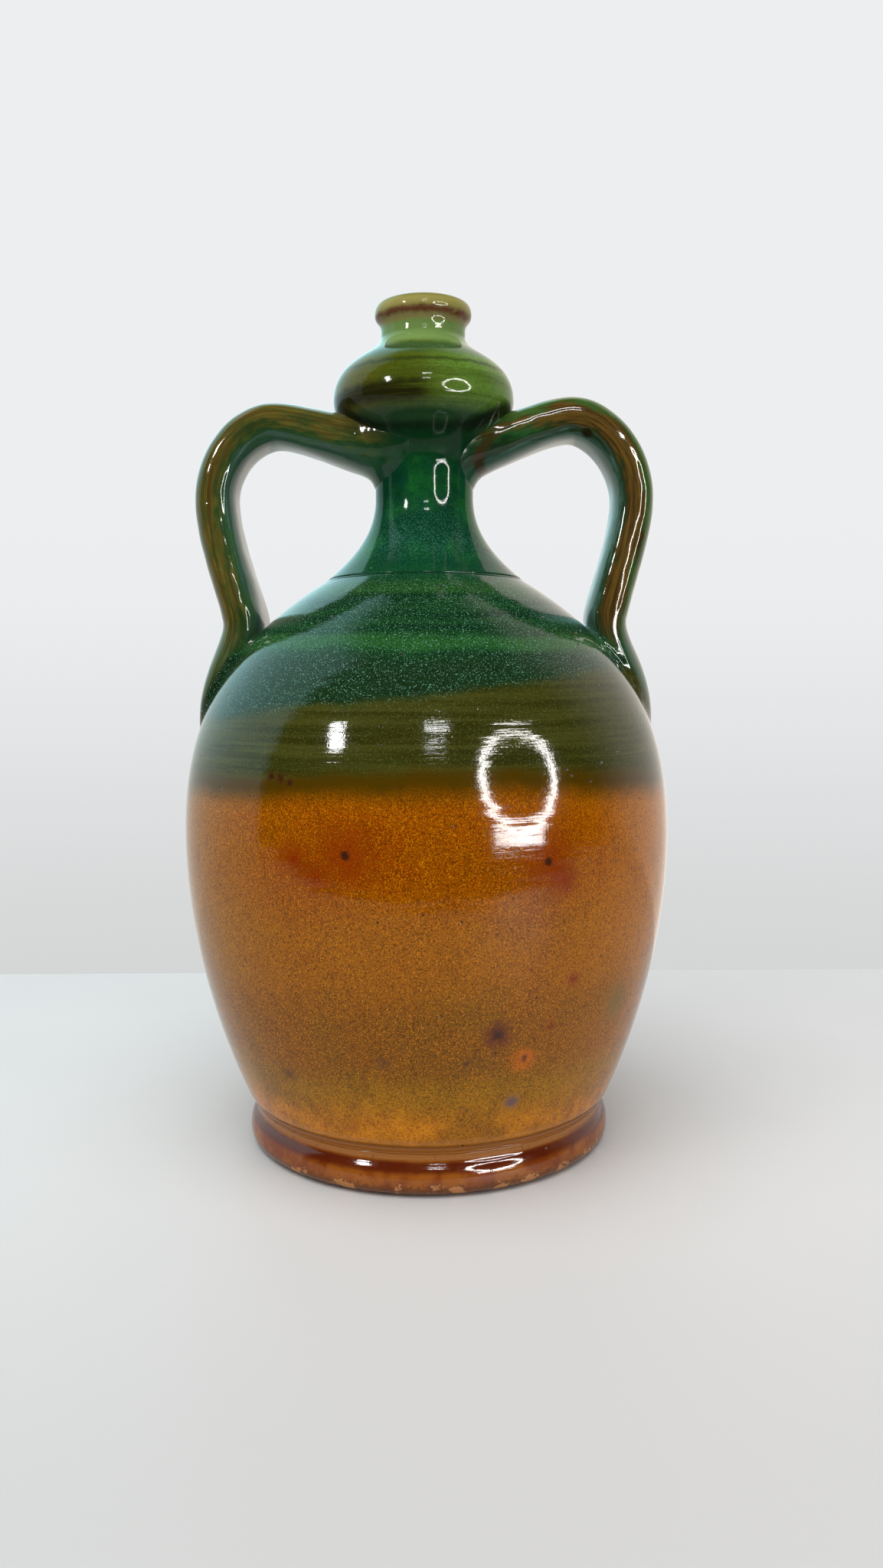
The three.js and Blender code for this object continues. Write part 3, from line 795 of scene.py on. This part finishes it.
depth = w.math("MAXIMUM", distance, w.times(given["Bury"], -1.0))
pressed = w.vector("ADD", spot_again, w.scaled(facing_again, depth))
inputs = {"Switch": w.math("LESS_THAN", distance, reach), "False": on_strap, "True": pressed}
chosen = w.get("GeometryNodeSwitch", inputs, input_type="VECTOR")
shape = w.get("GeometryNodeSetPosition", {"Geometry": grid.outputs["Mesh"], "Position": chosen})
count_nodes(puller)

# %% [markdown]
# The finish has to know where a point lies on the strap, so the tree stores that as attributes. Last, the
# root is stroked smooth, as with a wet thumb: Blur Attribute evens out the points near root and wall.

# %% The handle tree: what the glaze needs to know, and the end of the tree
NEAR, TOUCHING = 0.009, 0.001  # metres from the wall
near_wall = w.step(distance, NEAR, TOUCHING)
for name, value in (("edge", edge), ("outer", outer), ("along", along), ("near_wall", near_wall)):
    inputs = {"Geometry": shape, "Name": name, "Value": value}
    shape = w.get("GeometryNodeStoreNamedAttribute", inputs, data_type="FLOAT", domain="POINT")
closed = w.get("GeometryNodeMergeByDistance", {"Geometry": shape, "Distance": WELD})
at_root = w.times(w.step(kept_value("along"), 0.3, 0.2), kept_value("near_wall"))
inputs = {"Value": w.get("GeometryNodeInputPosition"), "Iterations": given["Strokes"], "Weight": at_root}
stroked = w.get("GeometryNodeBlurAttribute", inputs, data_type="FLOAT_VECTOR")
smoothed = w.get("GeometryNodeSetPosition", {"Geometry": closed, "Position": stroked})
end_of_tree(w, given, smoothed, "Handle")
count_nodes(puller)

# %% [markdown]
# The glaze on a strap is thin along its ridge and burns brown there, and it stays green on the outer edge,
# on the inner face and at the roots, where it runs into the colour of neck and shoulder. The inner face is
# also painted paler, a painted reflection of the pale walls. The left strap is browner than the right one.
# The stored attributes let the colours follow the strap round its bends, and a noise drawn out along the
# strap gives the streaks that pulling leaves.


# %% Handle finish: colours round the strap's section
def strap_section(f, along, edge, outer, on_left):
    on_right = f.less(1.0, on_left)
    on_section = f.join_xyz(f.times(along, 12.0), edge, f.times(outer, 2.5))
    streaks = f.noise(on_section, 1.7, 4.0, 0.6)
    hairs = f.noise(f.vector("MULTIPLY", on_section, (0.6, 5.0, 4.0)), 1.5, 3.0, 0.6)
    across_here = f.plus(outer, f.times(f.less(streaks, 0.5), 1.2))
    inner = f.mix(f.step(streaks, 0.38, 0.62), tint(18, 62, 28), tint(38, 86, 42))
    # painted reflection: the inner face is painted paler, as the pale walls mirrored in it
    painted_inner_sheen = f.times(f.step(across_here, -0.25, -0.7), f.less(0.85, f.times(on_left, 0.3)))
    inner = f.wash(inner, (painted_inner_sheen, 1.0, (78, 108, 94)))
    rim = f.mix(f.step(hairs, 0.4, 0.62), tint(54, 84, 30), tint(76, 98, 40))
    strap = f.mix(f.step(across_here, 0.2, 0.7), inner, rim)
    shaded_side = f.times(f.step(across_here, -0.75, -0.45), f.step(across_here, -0.05, -0.3))
    strap = f.wash(strap, (f.times(shaded_side, on_right), 0.75, (30, 44, 20)))
    right_brown = f.mix(f.step(hairs, 0.36, 0.64), tint(104, 76, 30), tint(66, 40, 16))
    left_brown = f.mix(f.step(hairs, 0.36, 0.64), tint(104, 88, 34), tint(78, 52, 18))
    lower_edge = f.plus(-0.3, f.times(f.step(along, 0.3, 0.16), 0.45))
    right_ridge = f.times(f.step(f.less(across_here, lower_edge), -0.15, 0.15), f.step(across_here, 0.5, 0.2))
    streaky = f.plus(0.6, f.times(f.step(streaks, 0.4, 0.6), 0.4))
    left_ridge = f.times(f.step(across_here, -0.6, 0.3), streaky)
    ridge = f.plus(f.times(right_ridge, on_right), f.times(left_ridge, on_left))
    strap = f.mix(f.times(ridge, 0.9), strap, f.mix(on_left, right_brown, left_brown))
    left_lobe = f.mix(f.step(hairs, 0.4, 0.62), tint(86, 100, 62), tint(56, 76, 42))
    return strap, f.mix(on_left, tint(34, 76, 50), left_lobe)


# %% [markdown]
# At the tail the strap turns to the green of the thumbed lobe, and root and lobe fade into the glaze of the
# wall. The right root has a brown crease: brown glaze, darkened further by painted shade in the crease. A pit
# under the right crest is dark and goes a little deep.

# %% Handle finish: roots, tails and the pit
PIT_PLACE = (49.8, -9.0, 219.5)


def strap_colours(f, shade, bumps, rough):
    here = f.place_in_mm()
    on_left = f.math("LESS_THAN", f.axes(here)["X"], 0.0)
    along, edge, outer, near_wall = (
        f.add("ShaderNodeAttribute", attribute_name=name).outputs["Fac"]
        for name in ("along", "edge", "outer", "near_wall"))
    strap, lobe = strap_section(f, along, edge, outer, on_left)
    on_tail = f.step(along, 0.74, 0.82)
    strap = f.mix(f.times(on_tail, 0.85), strap, lobe)
    rooted = f.times(f.step(along, 0.14, 0.04), f.step(near_wall, 0.3, 0.95))
    thumbed = f.times(on_tail, f.step(near_wall, 0.8, 1.0))
    strap = f.mix(f.math("MAXIMUM", rooted, thumbed), strap, shade)
    # painted shade: the crease where the right root meets the neck is darkened brown
    shaded_crease = f.times(f.step(near_wall, 0.5, 0.75), f.step(near_wall, 1.0, 0.9))
    at_neck = f.times(f.step(along, 0.2, 0.1), f.less(1.0, on_left))
    strap = f.wash(strap, (f.times(shaded_crease, at_neck), 0.8, (66, 40, 18)))
    pit = f.step(f.vector("DISTANCE", here, PIT_PLACE), 2.2, 0.9)
    strap = f.wash(strap, (pit, 1.0, (40, 32, 14)))
    bumps = f.less(f.times(bumps, 0.2), f.times(pit, 0.5))
    return strap, bumps, f.plus(rough, f.times(rooted, 0.08))


handle_glaze = glaze_finish("pulled_strap_glaze", strap_colours, ior=1.32)
print("finish:", handle_glaze.name)

# %% [markdown]
# A strap's middle line is four bends: from inside the neck up to the crest, over to its outmost point, down
# to the knee and along the shoulder. The two straps differ a little, because each was bent by hand: the
# left one is lower at its crest, and its root is smeared further across the front of the neck.

# %% Handles: the middle line and its sizes
STRAP_STEPS = 60
STRAP_WIDTH = 22.0
CREST_THICKNESS, OUTMOST_THICKNESS, KNEE_THICKNESS = 13.0, 12.6, 12.8
TIP_WIDTH, TIP_THICKNESS = 11.0, 6.0
ROOT_NARROWED, NARROWED_OVER, THINNED_OVER = 0.78, 0.1, 0.24  # at the root, as shares of the first bend


def strap_line(side, crest_height, root_height, root_width, root_thickness, root_ease, tip,
               knee_width, lobe, tail_ease):
    crest, outmost, knee = (45.5, crest_height), (64.8, 201.0), (56.9, 165.0)
    bends = [
        ((0.5, root_height), (19.0, 215.5), (35.7, crest_height), crest),
        (crest, (55.3, crest_height), (64.8, 212.7), outmost),
        (outmost, (64.8, 189.3), (59.4, 176.0), knee),
        (knee, (54.4 + lobe, 154.0), (68.3 + lobe, 145.5 + lobe), (68.3, 125.5)),
    ]
    sizes = [
        (root_width, root_thickness), (STRAP_WIDTH, CREST_THICKNESS), (STRAP_WIDTH, OUTMOST_THICKNESS),
        (knee_width, KNEE_THICKNESS), (TIP_WIDTH, TIP_THICKNESS)]
    points, widths, thicknesses, tails = [], [], [], []
    for number, corners in enumerate(bends):
        run = ([corners[0]] if number == 0 else []) + bend(*corners, STRAP_STEPS)
        for i, (x, z) in enumerate(run):
            t = (i if number == 0 else i + 1) / STRAP_STEPS
            evenly = t * t * (3 - 2 * t)
            share = (1 - (1 - t) ** root_ease, evenly, evenly, t ** tail_ease)[number]
            narrowed = ROOT_NARROWED + (1 - ROOT_NARROWED) * min(1.0, (number + t) / NARROWED_OVER)
            thinned = tip + (1.0 - tip) * min(1.0, (number + t) / THINNED_OVER)
            (w0, t0), (w1, t1) = sizes[number], sizes[number + 1]
            points.append((side * x * MM, 0.0, z * MM))
            widths.append((w0 + (w1 - w0) * share) * narrowed * MM)
            thicknesses.append((t0 + (t1 - t0) * share) * thinned * MM)
            tails.append(min(1.0, max(0.0, number + t - 2.0)))
    widths[0] = thicknesses[0] = widths[-1] = thicknesses[-1] = 0.0
    return points, dict(width=widths, thickness=thicknesses, tail=tails)


right_shape = dict(
    crest_height=225.0, root_height=210.0, root_width=23.5, root_thickness=19.0, root_ease=3, tip=1.0,
    knee_width=24.0, lobe=1.6, tail_ease=1.5)
left_shape = dict(
    crest_height=223.6, root_height=213.8, root_width=36.0, root_thickness=20.5, root_ease=2, tip=0.4,
    knee_width=31.0, lobe=0.0, tail_ease=2.4)
print("strap crests at", right_shape["crest_height"], "and", left_shape["crest_height"], "mm")

# %% [markdown]
# The straps are fitted against a plain copy of the outside of belly and neck. It is only a tool, as a
# potter's rib is, and goes again when both handles are made.

# %% Handles: pulled and pressed on
fitting_wall = throw("fitting_wall", belly_side + [(30.8, 175.6)] + neck_side, belly_glaze, wobble=0.0)


def pull(name, side, shape, **pressed_on):
    points, sizes = strap_line(side, **shape)
    return run_tree(
        name, line_mesh(name, points, **sizes), puller, Wall=fitting_wall, Side=float(side), Sides=56,
        Rings=280, Outer_crown=0.74, Inner_flatness=0.62, Blend_under=0.005, Blend_top=0.0008,
        Bury=0.0015, Glaze=handle_glaze, **pressed_on)


handle_right = pull(
    "right_handle", 1, right_shape, Blend_side=0.0012, Smear=0.0, Tail_edge=1.4, Blend_tail=0.0025, Strokes=6)
handle_left = pull(
    "left_handle", -1, left_shape, Blend_side=0.0016, Smear=0.007, Tail_edge=0.7, Blend_tail=0.001, Strokes=2)
bpy.data.objects.remove(fitting_wall)

# %% [markdown]
# ## The pieces in their places
#
# The jug is one rigid body. Each visible piece takes the place of the plainer solids that it was built
# over. A handle also stands for its two slip pads, which the glaze hides.

# %% Ride and replace
STANDS_FOR = [
    (belly, "amber_glaze", ["body"]),
    (neck, "green_glaze", ["neck"]),
    (foot, "brown_glaze", ["foot_ring"]),
    (neck_slip, "fired_slip", ["neck_slip_joint"]),
    (foot_slip, "fired_slip", ["foot_slip_joint"]),
    (handle_left, "handle_glaze", ["handle_left", "left_handle_upper_slip", "left_handle_lower_slip"]),
    (handle_right, "handle_glaze", ["handle_right", "right_handle_upper_slip", "right_handle_lower_slip"]),
]
for piece, slot, nodes in STANDS_FOR:
    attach(piece, "root")
    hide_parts(*nodes)
print("pieces:", [piece.name for piece, _, _ in STANDS_FOR])

# %% [markdown]
# ## Table
#
# A plain pale table top carries the jug and its shadow. It is a flat sheet with rounded corners, and its far
# edge is close behind the jug. A faint mottle keeps it from being one flat grey, and it is painted a little
# darker towards the front, as painted shade where less light falls.

# %% Table
TABLE_SIDE, TABLE_BACK, TABLE_FRONT, TABLE_TOP = 0.95, 0.145, -0.285, -0.0002  # corner centres, in metres
CORNER_RADIUS, CORNER_STEPS = 0.05, 8
CORNERS = [
    (TABLE_SIDE, TABLE_BACK, 0), (-TABLE_SIDE, TABLE_BACK, 90),
    (-TABLE_SIDE, TABLE_FRONT, 180), (TABLE_SIDE, TABLE_FRONT, 270)]
table_edge = []
for x, y, start in CORNERS:
    for k in range(CORNER_STEPS + 1):
        a = math.radians(start + k * 90 / CORNER_STEPS)
        table_edge.append((x + CORNER_RADIUS * math.cos(a), y + CORNER_RADIUS * math.sin(a), TABLE_TOP))


def sheet(name, points, faces, finish):
    mesh = bpy.data.meshes.new(name)
    mesh.from_pydata(points, [], faces)
    mesh.materials.append(finish)
    return in_scene(name, mesh)


pale, f = new_finish("pale_table")
here = f.add("ShaderNodeTexCoord").outputs["Object"]
top_tone = f.mix(f.noise(here, 14.0, 3.0), tint(210, 211, 211), tint(216, 217, 217))
# painted shade: the table is painted darker towards the front
top_tone = f.wash(top_tone, (f.step(f.axes(here)["Y"], -0.03, -0.2), 1.0, (198, 198, 197)))
f.surface("ShaderNodeBsdfPrincipled", {"Base Color": top_tone, "Roughness": 0.6})
table = sheet("table", table_edge, [list(range(len(table_edge)))], pale)
table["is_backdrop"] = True
print("table:", len(table_edge), "points round its edge")

# %% [markdown]
# ## Light
#
# Soft light comes from all round, at a level where a colour renders about as it is written. What the glaze
# mirrors is the room: pale walls behind and beside the jug and a dim space in front, where the viewer
# stands. The world shows that room to mirrored rays, and a plain pale wall to the camera.

# %% World
SOFT_LIGHT = (0.55, 0.55, 0.55, 1.0)
BRIGHT_LEFT, BRIGHT_RIGHT = (1.0, 1.7, 1.85, 1.0), (1.15, 1.08, 1.0, 1.0)
world = bpy.data.worlds.new("room")
bpy.context.scene.world = world
world.use_nodes = True
world.node_tree.nodes.clear()
r = Wires(world.node_tree)
looking = r.axes(r.add("ShaderNodeTexCoord").outputs["Generated"])
upwards = looking["Z"]
ahead_of_jug = r.times(looking["Y"], -1.0)
wall_tone = r.mix(r.step(upwards, -0.3, 0.14), tint(211, 212, 212), tint(237, 238, 240))
to_left = r.math("LESS_THAN", looking["X"], 0.0)
lit_left = r.times(to_left, r.step(ahead_of_jug, 0.2, 0.1))
lit_right = r.times(r.less(1.0, to_left), r.step(ahead_of_jug, 0.2, -0.4))
left_wall = r.mix(r.step(upwards, -0.1, 0.45), tint(236, 240, 236), BRIGHT_LEFT)
room_tone = r.mix(lit_right, tint(34, 34, 33), BRIGHT_RIGHT)
room_tone = r.mix(lit_left, room_tone, left_wall)
room_tone = r.wash(room_tone, (r.step(upwards, 0.84, 0.96), 1.0, (52, 58, 54)))
rays = r.add("ShaderNodeLightPath").outputs
seen = r.mix(rays["Is Glossy Ray"], wall_tone, room_tone)
shown = r.math("MAXIMUM", rays["Is Camera Ray"], rays["Is Glossy Ray"])
shown = r.math("MAXIMUM", shown, rays["Is Transmission Ray"])
light = r.mix(shown, SOFT_LIGHT, seen)
r.surface("ShaderNodeBackground", {"Color": light, "Strength": 1.0}, end="World")
count_nodes(world.node_tree)

# %% [markdown]
# A large softbox overhead makes the shadow, and the glaze doesn't mirror it. A ring lamp and four small
# lamps give the bright reflections, and light nothing else. Where each stands follows from where its mirror
# image lies on belly, gourd and neck.

# %% Lamps
AIM = Vector((0, 0, 0.12))


def lamp(name, place, size, size_y, power, upright=(0, 0, 1)):
    data = bpy.data.lights.new(name, "AREA")
    data.shape, data.size, data.size_y, data.energy = "RECTANGLE", size, size_y, power
    back = (Vector(place) - AIM).normalized()
    side_of = Vector(upright).cross(back).normalized()
    turned = Matrix((side_of, back.cross(side_of), back)).transposed().to_4x4()
    made = in_scene(name, data)
    made.matrix_world = Matrix.Translation(place) @ turned
    return made


softbox = lamp("softbox", (-0.2, -0.6, 1.4), 1.4, 1.4, 20.0)
softbox.visible_glossy = False
for small in (
    lamp("left_lamp", (-0.393, -0.41, 0.4445), 0.062, 0.1, 2.0, upright=(0.014, 0.099, 0.129)),
    lamp("upper_strip", (0.05, -0.5, 0.51), 0.1, 0.02, 0.5),
    lamp("lower_strip", (0.05, -0.58, 0.44), 0.1, 0.014, 0.3),
    lamp("low_lamp", (0.3, -0.37, 0.09), 0.18, 0.03, 0.9),
):
    small.visible_diffuse = False

# %% [markdown]
# The ring lamp is a flat glowing ring that faces the belly. No lamp has that shape, so it is a mesh with an
# Emission shader, which only mirrored rays see.

# %% Ring lamp
RING_CENTRE, RING_AIM = Vector((0.31, -0.355, 0.241)), Vector((0, 0, 0.11))
RING_OUTER, RING_INNER, RING_PARTS = 0.151, 0.131, 64
ring_turn = (RING_AIM - RING_CENTRE).to_track_quat("Z", "Y").to_matrix()
ring_points, ring_faces = [], []
for k in range(RING_PARTS):
    a = math.tau * k / RING_PARTS
    after = (k + 1) % RING_PARTS
    for radius in (RING_OUTER, RING_INNER):
        ring_points.append(RING_CENTRE + ring_turn @ Vector((radius * math.cos(a), radius * math.sin(a), 0)))
    ring_faces.append((2 * k, 2 * after, 2 * after + 1, 2 * k + 1))
glow, f = new_finish("ring_glow")
f.surface("ShaderNodeEmission", {"Color": (1.0, 0.97, 0.93, 1.0), "Strength": 90.0})
ring_lamp = sheet("ring_lamp", ring_points, ring_faces, glow)
ring_lamp.visible_camera = ring_lamp.visible_diffuse = ring_lamp.visible_shadow = False
ring_lamp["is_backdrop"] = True
print("ring lamp:", len(ring_faces), "faces")

# %% [markdown]
# ## Camera
#
# The jug was photographed from close by, at a bit more than half its height, so its mouth is seen from
# below and its foot from above. The camera's place, tilt and lens were fitted to the ellipses of foot,
# belly and lip for a picture of 1153 by 2048 pixels.

# %% Camera
FOCAL_PIXELS, PICTURE_HEIGHT, SENSOR = 1500.0, 2048.0, 36.0
CAMERA_PLACE = (0.00478, -0.367, 0.145)
TILT, ROLL = math.radians(5.21), math.radians(-0.36)
camera_data = bpy.data.cameras.new("camera")
camera_data.sensor_width = SENSOR
camera_data.lens = SENSOR * FOCAL_PIXELS / PICTURE_HEIGHT
camera_data.clip_start = 0.01
ahead = Vector((0, math.cos(TILT), -math.sin(TILT)))
up = Vector((0, math.sin(TILT), math.cos(TILT)))
sideways = Vector((1, 0, 0))
side_axis = math.cos(ROLL) * sideways + math.sin(ROLL) * up
up_axis = -math.sin(ROLL) * sideways + math.cos(ROLL) * up
turned = Matrix((side_axis, up_axis, -ahead)).transposed().to_4x4()
camera = in_scene("camera", camera_data)
camera.matrix_world = Matrix.Translation(CAMERA_PLACE) @ turned
bpy.context.scene.camera = camera
bpy.context.scene.view_settings.view_transform = "Standard"
print("camera lens:", round(camera_data.lens, 2), "mm")

# %% [markdown]
# Last, the visible pieces are measured once more, next to the frame's own box, so that it shows at once if
# they have outgrown the measured part.

# %% Sizes
low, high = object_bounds()
for name, box in (("visual box", high - low), ("cad box", cad_high - cad_low)):
    print(name, [round(x / MM, 1) for x in box])
